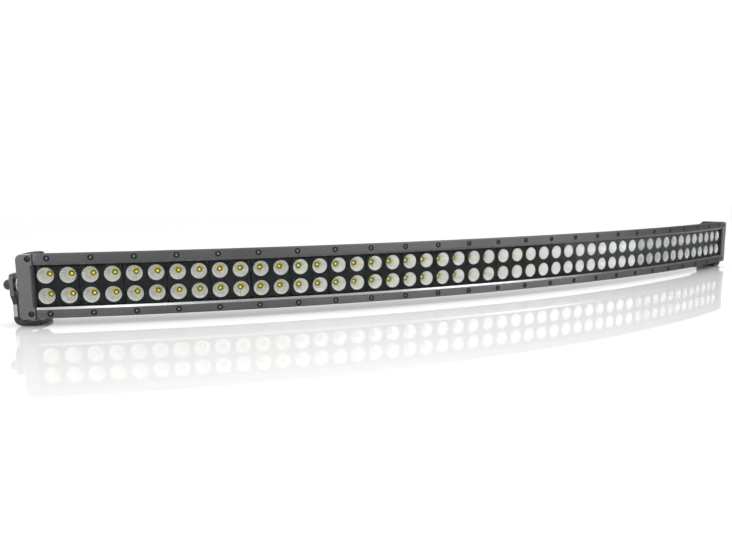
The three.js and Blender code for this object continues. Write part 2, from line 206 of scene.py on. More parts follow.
def turned(profile, segments, axis, at, closed=False, twist=None):
    """Solid of revolution. profile is (r, h) along the axis; closed joins its last point to its first."""
    verts, faces = [], []
    rows = []
    x, y, z = at
    for r, h in profile:
        if r < 1e-6 and not closed:
            idx = [len(verts)] * segments
            pts = [(0.0, h, 0.0)]
        else:
            idx = list(range(len(verts), len(verts) + segments))
            pts = []
            for k in range(segments):
                g = 2 * math.pi * k / segments
                rr = r if twist is None else twist(r, h, g)
                pts.append((rr * math.cos(g), h, rr * math.sin(g)))
        rows.append(idx)
        for a, b, c in pts:
            if axis == "y":
                verts.append((x + a, y + b, z + c))
            elif axis == "x":
                verts.append((x + b, y + a, z + c))
            else:
                verts.append((x + a, y + c, z + b))
    pairs = list(zip(rows, rows[1:]))
    if closed:
        pairs.append((rows[-1], rows[0]))
    for p, q in pairs:
        for k in range(segments):
            j = (k + 1) % segments
            f = [p[k], p[j], q[j], q[k]]
            g = []
            for v in f:
                if v not in g:
                    g.append(v)
            if len(g) > 2:
                faces.append(tuple(g))
    if not closed:
        for row in (rows[0], rows[-1]):
            if row[0] != row[-1]:
                faces.append(tuple(row))
    return outward(new_mesh("turned", verts, faces))


def boolean(base, cutter, operation="DIFFERENCE"):
    """base and cutter are meshes; returns a new mesh."""
    a = bpy.data.objects.new("a", base)
    b = bpy.data.objects.new("b", cutter)
    col = bpy.context.scene.collection
    col.objects.link(a)
    col.objects.link(b)
    m = a.modifiers.new("b", "BOOLEAN")
    m.operation, m.solver, m.object = operation, "EXACT", b
    bpy.context.view_layer.update()
    dg = bpy.context.evaluated_depsgraph_get()
    out = bpy.data.meshes.new_from_object(a.evaluated_get(dg), depsgraph=dg)
    bpy.data.objects.remove(a)
    bpy.data.objects.remove(b)
    return out


def combined(*meshes):
    verts, faces = [], []
    for me in meshes:
        o = len(verts)
        verts += [tuple(v.co) for v in me.vertices]
        faces += [tuple(o + i for i in p.vertices) for p in me.polygons]
    return new_mesh("combined", verts, faces)


def clean(me, dist=0.002, angle=0.6):
    bm = bmesh.new()
    bm.from_mesh(me)
    bmesh.ops.remove_doubles(bm, verts=bm.verts, dist=dist)
    bmesh.ops.dissolve_limit(bm, angle_limit=math.radians(angle), verts=bm.verts, edges=bm.edges)
    bmesh.ops.recalc_face_normals(bm, faces=bm.faces)
    bm.to_mesh(me)
    bm.free()
    return me


def bevelled(me, width, segments=3, angle=28.0):
    clean(me)
    a = bpy.data.objects.new("a", me)
    bpy.context.scene.collection.objects.link(a)
    m = a.modifiers.new("b", "BEVEL")
    m.width, m.segments, m.limit_method, m.angle_limit = width, segments, "ANGLE", math.radians(angle)
    m.use_clamp_overlap = True
    m.miter_outer = "MITER_ARC"
    bpy.context.view_layer.update()
    dg = bpy.context.evaluated_depsgraph_get()
    out = bpy.data.meshes.new_from_object(a.evaluated_get(dg), depsgraph=dg)
    bpy.data.objects.remove(a)
    return out


def mapped(me, matrix, name):
    out = me.copy()
    out.name = name
    out.transform(matrix)
    if matrix.determinant() < 0:
        out.flip_normals()
    out.update()
    return out


# ---- materials ----
def material(name):
    m = bpy.data.materials.new(name)
    m.use_nodes = True
    nt = m.node_tree
    for n in list(nt.nodes):
        nt.nodes.remove(n)
    out = nt.nodes.new("ShaderNodeOutputMaterial")
    b = nt.nodes.new("ShaderNodeBsdfPrincipled")
    nt.links.new(b.outputs[0], out.inputs[0])
    return m, nt, b, out


def node(nt, kind, **values):
    n = nt.nodes.new(kind)
    for k, v in values.items():
        if k in ("operation", "blend_type", "data_type", "interpolation_type", "noise_dimensions", "feature", "distance"):
            setattr(n, k, v)
        elif k.startswith("i"):
            n.inputs[int(k[1:])].default_value = v
    return n


def coords(nt, scale=1.0):
    tc = nt.nodes.new("ShaderNodeTexCoord")
    mp = nt.nodes.new("ShaderNodeMapping")
    mp.inputs["Scale"].default_value = (scale, scale, scale)
    nt.links.new(tc.outputs["Object"], mp.inputs["Vector"])
    return mp.outputs[0]


def ramp(nt, src, stops):
    r = nt.nodes.new("ShaderNodeValToRGB")
    cr = r.color_ramp
    while len(cr.elements) < len(stops):
        cr.elements.new(0.5)
    for e, (p, c) in zip(cr.elements, stops):
        e.position = p
        e.color = c if len(c) == 4 else (*c, 1.0)
    nt.links.new(src, r.inputs[0])
    return r.outputs[0]


def math_node(nt, op, a, b=None, c=None):
    n = nt.nodes.new("ShaderNodeMath")
    n.operation = op
    for i, v in enumerate((a, b, c)):
        if v is None:
            continue
        if isinstance(v, (int, float)):
            n.inputs[i].default_value = v
        else:
            nt.links.new(v, n.inputs[i])
    return n.outputs[0]


def noise(nt, vec, scale, detail=2.0, rough=0.5):
    n = nt.nodes.new("ShaderNodeTexNoise")
    n.inputs["Scale"].default_value = scale
    n.inputs["Detail"].default_value = detail
    n.inputs["Roughness"].default_value = rough
    nt.links.new(vec, n.inputs["Vector"])
    return n.outputs["Fac"]


def bump(nt, height, strength, distance, b):
    n = nt.nodes.new("ShaderNodeBump")
    n.inputs["Strength"].default_value = strength
    n.inputs["Distance"].default_value = distance
    nt.links.new(height, n.inputs["Height"])
    nt.links.new(n.outputs[0], b.inputs["Normal"])
    return n


def mix_colour(nt, fac, a, b, mode="MIX"):
    n = nt.nodes.new("ShaderNodeMix")
    n.data_type = "RGBA"
    n.blend_type = mode
    for sock, v in ((n.inputs[0], fac), (n.inputs[6], a), (n.inputs[7], b)):
        if isinstance(v, (int, float)):
            sock.default_value = v
        elif isinstance(v, tuple):
            sock.default_value = v if len(v) == 4 else (*v, 1.0)
        else:
            nt.links.new(v, sock)
    return n.outputs[2]


def paint(name, dark, light, rough=(0.38, 0.5), metallic=0.0, edge=(0.3, 0.3, 0.3), grain=1400.0, bump_strength=0.12, spec=0.5, painted_light_drift=()):
    """Powder coat: fine grain, slow random tone variation, and rubbed edges. The last argument, a list of (x in metres,
    factor) along the bar, is painted light and shade: it scales the coat lighter or darker along the bar.
    """
    m, nt, b, _ = material(name)
    v = coords(nt)
    slow = noise(nt, v, 9.0, 3.0, 0.55)
    fine = noise(nt, v, grain, 2.0, 0.6)
    tone = ramp(nt, slow, [(0.32, dark), (0.7, light)])
    speck = ramp(nt, fine, [(0.36, (0.82, 0.82, 0.82)), (0.64, (1.16, 1.16, 1.16))])
    tone = mix_colour(nt, 1.0, tone, speck, "MULTIPLY")
    if painted_light_drift:
        # painted light and shade: the tone is scaled along the bar, lightest around the middle and darkest at the right
        # end
        tc = nt.nodes.new("ShaderNodeTexCoord")
        sep = nt.nodes.new("ShaderNodeSeparateXYZ")
        nt.links.new(tc.outputs["Object"], sep.inputs[0])
        along = math_node(nt, "ADD", math_node(nt, "MULTIPLY", sep.outputs[0], 0.75), 0.5)
        painted_light_factor = ramp(nt, along, [(0.5 + 0.75 * x, (0.5 * f,) * 3) for x, f in painted_light_drift])
        tone = mix_colour(nt, 1.0, tone, mix_colour(nt, 1.0, painted_light_factor, (2.0, 2.0, 2.0), "MULTIPLY"), "MULTIPLY")
    geo = nt.nodes.new("ShaderNodeNewGeometry")
    worn = noise(nt, v, 160.0, 4.0, 0.65)
    edge_mask = math_node(nt, "MULTIPLY", geo.outputs["Pointiness"], 1.0)
    edge_mask = ramp(nt, edge_mask, [(0.535, (0, 0, 0)), (0.6, (1, 1, 1))])
    keep = ramp(nt, worn, [(0.48, (0, 0, 0)), (0.72, (1, 1, 1))])
    mask = math_node(nt, "MULTIPLY", edge_mask, keep)
    mask = math_node(nt, "MULTIPLY", mask, 0.45)
    tone = mix_colour(nt, mask, tone, edge)
    nt.links.new(tone, b.inputs["Base Color"])
    r = ramp(nt, noise(nt, v, 55.0, 4.0, 0.6), [(0.3, (rough[0],) * 3), (0.7, (rough[1],) * 3)])
    nt.links.new(r, b.inputs["Roughness"])
    b.inputs["Metallic"].default_value = metallic
    b.inputs["Specular IOR Level"].default_value = spec
    bump(nt, fine, bump_strength, 0.0002, b)
    return m


def metal(name, colour, rough=(0.16, 0.3), brushed=(1, 1, 1), scale=600.0):
    m, nt, b, _ = material(name)
    tc = nt.nodes.new("ShaderNodeTexCoord")
    mp = nt.nodes.new("ShaderNodeMapping")
    mp.inputs["Scale"].default_value = brushed
    nt.links.new(tc.outputs["Object"], mp.inputs["Vector"])
    v = mp.outputs[0]
    fine = noise(nt, v, scale, 3.0, 0.6)
    dark = tuple(c * 0.8 for c in colour)
    nt.links.new(ramp(nt, fine, [(0.3, dark), (0.68, colour)]), b.inputs["Base Color"])
    r = ramp(nt, noise(nt, v, scale * 0.4, 3.0, 0.6), [(0.3, (rough[0],) * 3), (0.7, (rough[1],) * 3)])
    nt.links.new(r, b.inputs["Roughness"])
    b.inputs["Metallic"].default_value = 1.0
    bump(nt, fine, 0.08, 0.0001, b)
    return m


def plastic(name, colour, rough=(0.45, 0.6), scale=900.0, strength=0.2, dist=0.0002):
    m, nt, b, _ = material(name)
    v = coords(nt)
    fine = noise(nt, v, scale, 2.0, 0.55)
    slow = noise(nt, v, 20.0, 3.0, 0.6)
    dark = tuple(c * 0.75 for c in colour)
    nt.links.new(ramp(nt, slow, [(0.3, dark), (0.7, colour)]), b.inputs["Base Color"])
    r = ramp(nt, noise(nt, v, 120.0, 3.0, 0.6), [(0.3, (rough[0],) * 3), (0.7, (rough[1],) * 3)])
    nt.links.new(r, b.inputs["Roughness"])
    bump(nt, fine, strength, dist, b)
    return m


def carbon_face(name):
    """Glossy black moulding with a two-by-two twill pattern: diagonals rise from lower left to upper right."""
    m, nt, b, _ = material(name)
    tc = nt.nodes.new("ShaderNodeTexCoord")
    sep = nt.nodes.new("ShaderNodeSeparateXYZ")
    nt.links.new(tc.outputs["Object"], sep.inputs[0])
    w = 0.95  # thread width, in the module's own millimetres
    x = math_node(nt, "DIVIDE", sep.outputs[0], w)
    z = math_node(nt, "DIVIDE", sep.outputs[2], w)
    ix, iz = math_node(nt, "FLOOR", x), math_node(nt, "FLOOR", z)
    fx, fz = math_node(nt, "FRACT", x), math_node(nt, "FRACT", z)
    diff = math_node(nt, "SUBTRACT", ix, iz)
    cell = math_node(nt, "FLOORED_MODULO", diff, 4.0)
    over = math_node(nt, "LESS_THAN", cell, 1.5)
    # thread roundness across its width
    rx = math_node(nt, "SINE", math_node(nt, "MULTIPLY", fx, math.pi))
    rz = math_node(nt, "SINE", math_node(nt, "MULTIPLY", fz, math.pi))
    hx = math_node(nt, "MULTIPLY", rx, over)
    inv = math_node(nt, "SUBTRACT", 1.0, over)
    hz = math_node(nt, "MULTIPLY", rz, inv)
    height = math_node(nt, "ADD", hx, hz)
    base = mix_colour(nt, over, (0.0005, 0.0005, 0.0007), (0.074, 0.075, 0.079))
    shade = ramp(nt, height, [(0.5, (0.01, 0.01, 0.01)), (0.98, (1.15, 1.15, 1.15))])
    grain = ramp(nt, noise(nt, coords(nt, 1.0), 2.2, 3.0, 0.6), [(0.3, (0.8, 0.8, 0.8)), (0.7, (1.15, 1.15, 1.15))])
    col = mix_colour(nt, 1.0, base, shade, "MULTIPLY")
    col = mix_colour(nt, 1.0, col, grain, "MULTIPLY")
    nt.links.new(col, b.inputs["Base Color"])
    r = mix_colour(nt, over, (0.5, 0.5, 0.5), (0.3, 0.3, 0.3))
    nt.links.new(r, b.inputs["Roughness"])
    b.inputs["Specular IOR Level"].default_value = 0.06
    bump(nt, height, 0.35, 0.12, b)
    return m


def metallised_cup(name, rough, wobble, scale, emitter_reflection_colour, flutes=0, crease_shade_root=0.06, side=0.36, lean=0.0, milky=0.32, cells=0.85):
    """Vacuum-metallised moulding: bright, with a soft milky scatter, a painted yellow reflection of the emitter at its
    deepest part, and painted shade in the flute creases.
    """
    m, nt, b, out = material(name)
    v = coords(nt)
    vor = nt.nodes.new("ShaderNodeTexVoronoi")
    vor.inputs["Scale"].default_value = scale
    nt.links.new(v, vor.inputs["Vector"])
    n = noise(nt, v, scale * 0.6, 2.0, 0.5)
    base = ramp(nt, n, [(0.25, (0.93, 0.93, 0.925)), (0.75, (0.985, 0.985, 0.98))])
    tc = nt.nodes.new("ShaderNodeTexCoord")
    sep = nt.nodes.new("ShaderNodeSeparateXYZ")
    nt.links.new(tc.outputs["Object"], sep.inputs[0])
    depth = math_node(nt, "DIVIDE", math_node(nt, "SUBTRACT", sep.outputs[1], 5.0), 17.3)
    # position inside one cup: four cups share the mesh, at plus and minus half a pitch
    lx = math_node(nt, "SUBTRACT", math_node(nt, "ABSOLUTE", sep.outputs[0]), LED_PITCH / 2)
    lx = math_node(nt, "MULTIPLY", lx, math_node(nt, "SIGN", sep.outputs[0]))
    lz = math_node(nt, "SUBTRACT", math_node(nt, "ABSOLUTE", sep.outputs[2]), ROW_PITCH / 2)
    lz = math_node(nt, "MULTIPLY", lz, math_node(nt, "SIGN", sep.outputs[2]))
    # painted reflection of the emitter: yellow painted into the colour at the cup's deepest part, shifted sideways by
    # the lean argument
    emitter_reflection_reach = math_node(nt, "ADD", depth, math_node(nt, "MULTIPLY", lz, 0.04))
    emitter_reflection_reach = math_node(nt, "ADD", emitter_reflection_reach, math_node(nt, "MULTIPLY", lx, lean))
    emitter_reflection_mask = ramp(nt, emitter_reflection_reach, [(0.72, (0, 0, 0)), (0.88, (0.45, 0.45, 0.45)), (1.0, (1, 1, 1))])
    colour = mix_colour(nt, emitter_reflection_mask, base, emitter_reflection_colour)
    dimples = ramp(nt, vor.outputs["Distance"], [(0.3, (1, 1, 1)), (0.8, (cells,) * 3)])
    colour = mix_colour(nt, 1.0, colour, dimples, "MULTIPLY")
    if flutes:
        # painted shade: dark lines painted along the flute creases, strongest near the mouth and fading deeper in the
        # cup; root and side are their colours
        turn = math_node(nt, "ARCTAN2", lz, lx)
        wave = math_node(nt, "ABSOLUTE", math_node(nt, "COSINE", math_node(nt, "MULTIPLY", turn, flutes / 2)))
        crease_painted_shade = ramp(nt, wave, [(0.0, (crease_shade_root,) * 3), (0.36, (side,) * 3), (0.64, (1, 1, 1))])
        shallow = ramp(nt, depth, [(0.02, (1, 1, 1)), (0.55, (0.75, 0.75, 0.75)), (0.8, (0, 0, 0))])
        colour = mix_colour(nt, 1.0, colour, mix_colour(nt, shallow, (1.0, 1.0, 1.0), crease_painted_shade), "MULTIPLY")
    nt.links.new(colour, b.inputs["Base Color"])
    nt.links.new(ramp(nt, n, [(0.3, (rough,) * 3), (0.8, (rough * 1.5,) * 3)]), b.inputs["Roughness"])
    b.inputs["Metallic"].default_value = 1.0
    bp = bump(nt, vor.outputs["Distance"], wobble, 0.25, b)
    df = nt.nodes.new("ShaderNodeBsdfDiffuse")
    nt.links.new(colour, df.inputs["Color"])
    nt.links.new(bp.outputs[0], df.inputs["Normal"])
    mx = nt.nodes.new("ShaderNodeMixShader")
    mx.inputs[0].default_value = milky
    nt.links.new(b.outputs[0], mx.inputs[1])
    nt.links.new(df.outputs[0], mx.inputs[2])
    nt.links.new(mx.outputs[0], out.inputs[0])
    return m


def clear_lens(name):
    m, nt, b, out = material(name)
    nt.nodes.remove(b)
    tr = nt.nodes.new("ShaderNodeBsdfTransparent")
    gl = nt.nodes.new("ShaderNodeBsdfGlossy")
    fr = nt.nodes.new("ShaderNodeFresnel")
    fr.inputs["IOR"].default_value = 1.35
    v = coords(nt)
    haze = ramp(nt, noise(nt, v, 14.0, 4.0, 0.6), [(0.35, (0.965, 0.975, 0.975)), (0.7, (0.99, 0.995, 0.995))])
    nt.links.new(haze, tr.inputs["Color"])
    r = ramp(nt, noise(nt, v, 40.0, 4.0, 0.6), [(0.35, (0.02, 0.02, 0.02)), (0.75, (0.07, 0.07, 0.07))])
    nt.links.new(r, gl.inputs["Roughness"])
    mx = nt.nodes.new("ShaderNodeMixShader")
    nt.links.new(math_node(nt, "MULTIPLY", fr.outputs[0], 0.07), mx.inputs[0])
    nt.links.new(tr.outputs[0], mx.inputs[1])
    nt.links.new(gl.outputs[0], mx.inputs[2])
    nt.links.new(mx.outputs[0], out.inputs[0])
    return m


def phosphor(name):
    """Silicone over yellow phosphor, with a painted glow: a weak emission, though the emitter is no lamp here."""
    m, nt, b, _ = material(name)
    v = coords(nt)
    colour = ramp(nt, noise(nt, v, 1.2, 2.0, 0.5), [(0.3, (0.88, 0.7, 0.02)), (0.7, (0.95, 0.8, 0.05))])
    nt.links.new(colour, b.inputs["Base Color"])
    # painted glow: the phosphor colour is also emitted as light
    nt.links.new(colour, b.inputs["Emission Color"])
    b.inputs["Emission Strength"].default_value = 0.36
    nt.links.new(ramp(nt, noise(nt, v, 2.0, 3.0, 0.6), [(0.3, (0.18,) * 3), (0.7, (0.3,) * 3)]), b.inputs["Roughness"])
    return m


MAT = {
    # the rail coat's factors along the bar are painted light and shade, not a change in the coat
    "rail": paint("rail_powder_coat", (0.07, 0.071, 0.07), (0.092, 0.093, 0.092), rough=(0.34, 0.44), spec=0.07, painted_light_drift=((-0.6, 1.2), (-0.36, 1.0), (-0.13, 1.5), (0.12, 1.4), (0.3, 0.95), (0.42, 0.62), (0.6, 0.55))),
    "cap": paint("cap_powder_coat", (0.108, 0.108, 0.107), (0.138, 0.138, 0.137), grain=1100.0, spec=0.2),
    # painted highlight: a lighter, glossier coat on the cap's front bevel
    "cap_edge": paint("cap_edge_powder_coat", (0.28, 0.28, 0.28), (0.36, 0.36, 0.36), rough=(0.25, 0.34), edge=(0.5, 0.5, 0.5), grain=1100.0),
    # painted sheen on the bracket's front edge, above the joggle and on the foot
    "edge_painted_sheen": paint("bracket_edge_painted_sheen_coat", (0.085, 0.086, 0.086), (0.12, 0.121, 0.121), rough=(0.3, 0.4), edge=(0.6, 0.6, 0.6)),
    "housing": paint("housing_powder_coat", (0.016, 0.0165, 0.017), (0.026, 0.0265, 0.027), rough=(0.42, 0.55), edge=(0.16, 0.16, 0.16)),
    "bracket": paint("bracket_powder_coat", (0.011, 0.0115, 0.0115), (0.018, 0.0185, 0.0185), rough=(0.34, 0.46), edge=(0.3, 0.3, 0.3)),
    "seat": plastic("screw_seat_shadow_paint", (0.012, 0.012, 0.012), (0.5, 0.65), 900.0, 0.1),
    # painted shade: a dark matt coat on faces that point up or down
    "top_bottom_painted_shade": paint("top_bottom_painted_shade_coat", (0.012, 0.012, 0.012), (0.018, 0.018, 0.018), rough=(0.75, 0.9), edge=(0.05, 0.05, 0.05)),
    # painted highlight on the bracket's front edge below the joggle, in a bright metal colour
    "edge_bare": metal("bracket_sheared_edge", (0.42, 0.425, 0.43), (0.28, 0.42), scale=900.0),
    # lit copy of the window chamfer: bright metal, on the lower rail only
    "bezel_edge": paint("bezel_bare_chamfer", (0.24, 0.242, 0.242), (0.32, 0.322, 0.322), rough=(0.24, 0.32), metallic=0.9, edge=(0.5, 0.5, 0.5), bump_strength=0.05),
    # shaded copy of the window chamfer: painted shade on the upper rail and on the cap's window-side slope
    "bezel_edge_upper": paint("bezel_coated_chamfer", (0.055, 0.056, 0.056), (0.075, 0.076, 0.076), rough=(0.3, 0.38), edge=(0.4, 0.4, 0.4), bump_strength=0.05, spec=0.35),
    "face": carbon_face("reflector_face_twill"),
    "cup_flood": metallised_cup("cup_fluted_metallised", 0.13, 0.04, 0.5, (0.82, 0.8, 0.1), 24, 0.02, 0.2, 0.03, 0.8, 0.97),
    # lit copy of the fluted cup for the right-hand modules: the same cups, with paler painted crease shade, less
    # scatter and a different painted emitter reflection, standing in for how the light falls there
    "cup_right_lit_copy": metallised_cup("cup_fluted_metallised_right_lit_copy", 0.13, 0.1, 0.5, (0.8, 0.78, 0.3), 24, 0.16, 0.42, 0.0, 0.3),
    "cup_spot": metallised_cup("cup_hammered_metallised", 0.1, 0.2, 0.55, (0.84, 0.86, 0.68), milky=0.42, cells=0.9),
    "lens": clear_lens("lens_clear"),
    "rubber": plastic("gasket_rubber", (0.02, 0.02, 0.021), (0.7, 0.85), 500.0, 0.3),
    "black_plastic": plastic("black_nylon", (0.03, 0.03, 0.031), (0.4, 0.55)),
    "board": plastic("white_solder_mask", (0.8, 0.8, 0.76), (0.35, 0.5), 400.0, 0.05),
    "driver": plastic("green_solder_mask", (0.03, 0.14, 0.08), (0.3, 0.45), 400.0, 0.1),
    "phosphor": phosphor("led_phosphor"),
    "led_ring": plastic("led_body", (0.035, 0.03, 0.012), (0.3, 0.45), 2.0, 0.1, 0.05),
    "screw": metal("black_oxide_screw", (0.045, 0.045, 0.045), (0.16, 0.28), scale=1800.0),
    "steel": metal("zinc_plated_steel", (0.42, 0.43, 0.44), (0.24, 0.36), scale=1400.0),
    # painted highlight: a bright metal colour at the floor of each screw's hex socket
    "socket_floor": metal("bright_socket_floor", (0.3, 0.3, 0.3), (0.3, 0.4), scale=1800.0),
    "bolt": metal("dark_zinc_bolt", (0.075, 0.075, 0.078), (0.2, 0.34), scale=1400.0),
}

# ---- bezel rails ----
rail_half = [
    (1.6, WINDOW + 0.05), (1.3, WINDOW + 0.05), (0.12, 28.0), (0.0, 28.3),
    (0.0, HALF_H - 1.5), (0.12, HALF_H - 0.8), (0.5, HALF_H - 0.25), (1.3, HALF_H),
    (8.0, HALF_H), (8.0, 31.2), (1.6, 31.2),
]


def rail(sign):
    outline = [(d, sign * z) for d, z in rail_half]
    me = sweep("rail", outline, -END, END, 96)
    # a shallow round seat for each screw
    cutters = []
    for k in range(25):
        a = (k - 12) * SCREW_PITCH / FACE_R
        cutters.append(
            mapped(
                turned([(0, -2), (3.7, -2), (3.7, 0.0), (3.35, 0.75), (0, 0.75)], 28, "y", (0, 0, sign * SCREW_Z)),
                station(a),
                "cutter",
            )
        )
    me = boolean(me, combined(*cutters))
    # the chamfer along the window is a material of its own, in lit and shaded copies: a bright metal on the lower rail
    # and a dark painted-shade coat on the upper rail
    me.materials.clear()
    me.materials.append(MAT["rail"])
    me.materials.append(MAT["bezel_edge" if sign < 0 else "bezel_edge_upper"])
    me.materials.append(MAT["seat"])
    me.materials.append(MAT["top_bottom_painted_shade"])
    idx = []
    for p in me.polygons:
        c = p.center
        z = abs(c.z / MM - Z_SHIFT)
        y = c.y / MM - Y_SHIFT
        rad = math.hypot(c.x / MM, RADIUS - y)
        d, s = RADIUS - rad, math.atan2(c.x / MM, RADIUS - y) * FACE_R
        off = math.hypot((s + SCREW_PITCH / 2) % SCREW_PITCH - SCREW_PITCH / 2, z - SCREW_Z)
        if z < 28.25 and 0.05 < d < 1.5:
            idx.append(1)
        elif off < 3.8 and 0.05 < d < 0.85:
            idx.append(2)
        # faces that point up or down get the dark painted shade
        elif z > HALF_H - 0.1 and d > 1.0:
            idx.append(3)
        else:
            idx.append(0)
    me.polygons.foreach_set("material_index", idx)
    return me


for sign, word in ((1, "upper"), (-1, "lower")):
    link("rail_" + word, rail(sign), "bar", [MAT["rail"], MAT["bezel_edge"]], ["bezel_rail_" + word])


# ---- socket button screws ----
def button_screw(head_r, head_h, hex_r, shank_r, length, segments=28):
    """Head dome towards -d, seat at d = 0."""
    prof = [(0, -head_h), (head_r * 0.35, -head_h * 0.99), (head_r * 0.66, -head_h * 0.86), (head_r * 0.88, -head_h * 0.56),
            (head_r, -head_h * 0.16), (head_r, 0), (shank_r, 0), (shank_r, length), (0, length)]
    body = turned(prof, segments, "y", (0, 0, 0))
    socket = turned([(0, -head_h - 1), (hex_r, -head_h - 1), (hex_r, -head_h * 0.3), (0, -head_h * 0.18)], 6, "y", (0, 0, 0))
    return boolean(body, socket)


rail_screw_mesh = button_screw(2.85, 1.7, 1.25, 1.5, 4.5)
rail_screw_mesh.name = "rail_screw"
for k in range(25):
    for sign, word in ((1, "upper"), (-1, "lower")):
        a = (k - 12) * SCREW_PITCH / FACE_R
        m = station(a) @ Matrix.Translation((0, 0.8, sign * SCREW_Z))
        me = rail_screw_mesh if rail_screw_mesh.users == 0 else rail_screw_mesh
        ob = bpy.data.objects.new("rail_screw_%s_%02d" % (word, k + 1), me)
        bpy.context.scene.collection.objects.link(ob)
        # each hex socket is left at its own angle
        ob.matrix_world = m @ Matrix.Rotation(0.37 * k + (0.5 if sign > 0 else 0.0), 4, "Y")
        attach(ob, "bar")
rail_screw_mesh.materials.append(MAT["screw"])
rail_screw_mesh.materials.append(MAT["socket_floor"])
# the socket floor carries the painted highlight
rail_screw_mesh.polygons.foreach_set(
    "material_index",
    [1 if math.hypot(p.center.x, p.center.z) < 0.95 and abs(p.normal.y) > 0.5 and p.center.y < -0.2 else 0 for p in rail_screw_mesh.polygons],
)
rail_screw_mesh.polygons.foreach_set("use_smooth", [True] * len(rail_screw_mesh.polygons))
rail_screw_mesh.set_sharp_from_angle(angle=math.radians(30))

# ---- lens and its gaskets ----
lens_outline = rounded([(1.9, -30.8), (4.1, -30.8), (4.1, 30.8), (1.9, 30.8)], [0.4] * 4, 2)
link("lens_sheet", sweep("lens", lens_outline, -END, END, 96), "bar", [MAT["lens"]], ["lens"])
for sign, word in ((1, "upper"), (-1, "lower")):
    outline = [(d, sign * z) for d, z in rounded([(4.4, 25.7), (8.0, 25.7), (8.0, 30.9), (4.4, 30.9)], [0.8] * 4, 3)]
    link("gasket_strip_" + word, sweep("gasket", outline, -END, END, 96), "bar", [MAT["rubber"]], ["lens_gasket_" + word])


# ---- reflector modules ----
CUP_R = 9.6
TRIM_X = 608.0 - 23 * LED_PITCH - 0.35
N_RIM = 48


def face_mesh(left=LED_PITCH - 0.25, right=LED_PITCH - 0.25):
    """Face plate with four round holes: closed, front at FACE_DEPTH, back 2.6 behind it."""
    verts, faces = [], []
    half_x, half_z = LED_PITCH / 2, 24.9 / 2
    edge_z = 24.9
    back = FACE_DEPTH + 2.6

    def add(v):
        verts.append(v)
        return len(verts) - 1

    for cx in (-half_x, half_x):
        for cz in (-ROW_PITCH / 2, ROW_PITCH / 2):
            x0, x1 = (-left, 0.0) if cx < 0 else (0.0, right)
            z0, z1 = (-edge_z, 0.0) if cz < 0 else (0.0, edge_z)
            square, inset = [], []
            rings = [[] for _ in range(4)]
            for k in range(N_RIM):
                g = 2 * math.pi * (k + 0.5) / N_RIM
                c, s = math.cos(g), math.sin(g)
                tx = ((x1 if c > 0 else x0) - cx) / c if abs(c) > 1e-9 else 1e9
                tz = ((z1 if s > 0 else z0) - cz) / s if abs(s) > 1e-9 else 1e9
                t = min(tx, tz)
                px, pz = cx + c * t, cz + s * t
                # the outer edge of the module is broken by a small bevel
                outer = px < 1e-6 - left or px > right - 1e-6 or abs(pz) > edge_z - 1e-6
                qx = max(0.35 - left, min(right - 0.35, px))
                qz = max(-edge_z + 0.35, min(edge_z - 0.35, pz))
                inset.append(add((qx, FACE_DEPTH, qz)))
                square.append((px, pz, outer))
                for j, (r, d) in enumerate(((CUP_R + 0.45, FACE_DEPTH), (CUP_R + 0.12, FACE_DEPTH + 0.14), (CUP_R, FACE_DEPTH + 0.5), (CUP_R, back))):
                    rings[j].append(add((cx + c * r, d, cz + s * r)))
            side = [add((px, FACE_DEPTH + 0.35, pz)) for px, pz, _ in square]
            rear = [add((px, back, pz)) for px, pz, _ in square]
            for k in range(N_RIM):
                j = (k + 1) % N_RIM
                faces.append((inset[k], inset[j], rings[0][j], rings[0][k]))
                for a, b in zip(rings, rings[1:]):
                    faces.append((a[k], a[j], b[j], b[k]))
                faces.append((rings[3][k], rings[3][j], rear[j], rear[k]))
                if square[k][2] and square[j][2]:
                    faces.append((side[k], side[j], inset[j], inset[k]))
                    faces.append((rear[k], rear[j], side[j], side[k]))
                elif square[k][2] != square[j][2]:
                    pass
    # corners of each cell: fans where the square turns
    me = new_mesh("face", verts, faces)
    bm = bmesh.new()
    bm.from_mesh(me)
    bmesh.ops.remove_doubles(bm, verts=bm.verts, dist=0.01)
    edges = [e for e in bm.edges if len(e.link_faces) == 1]
    bmesh.ops.holes_fill(bm, edges=edges, sides=12)
    loose = [v for v in bm.verts if not v.link_faces]
    bmesh.ops.delete(bm, geom=loose, context="VERTS")
    bmesh.ops.recalc_face_normals(bm, faces=bm.faces)
    bm.to_mesh(me)
    bm.free()
    return me


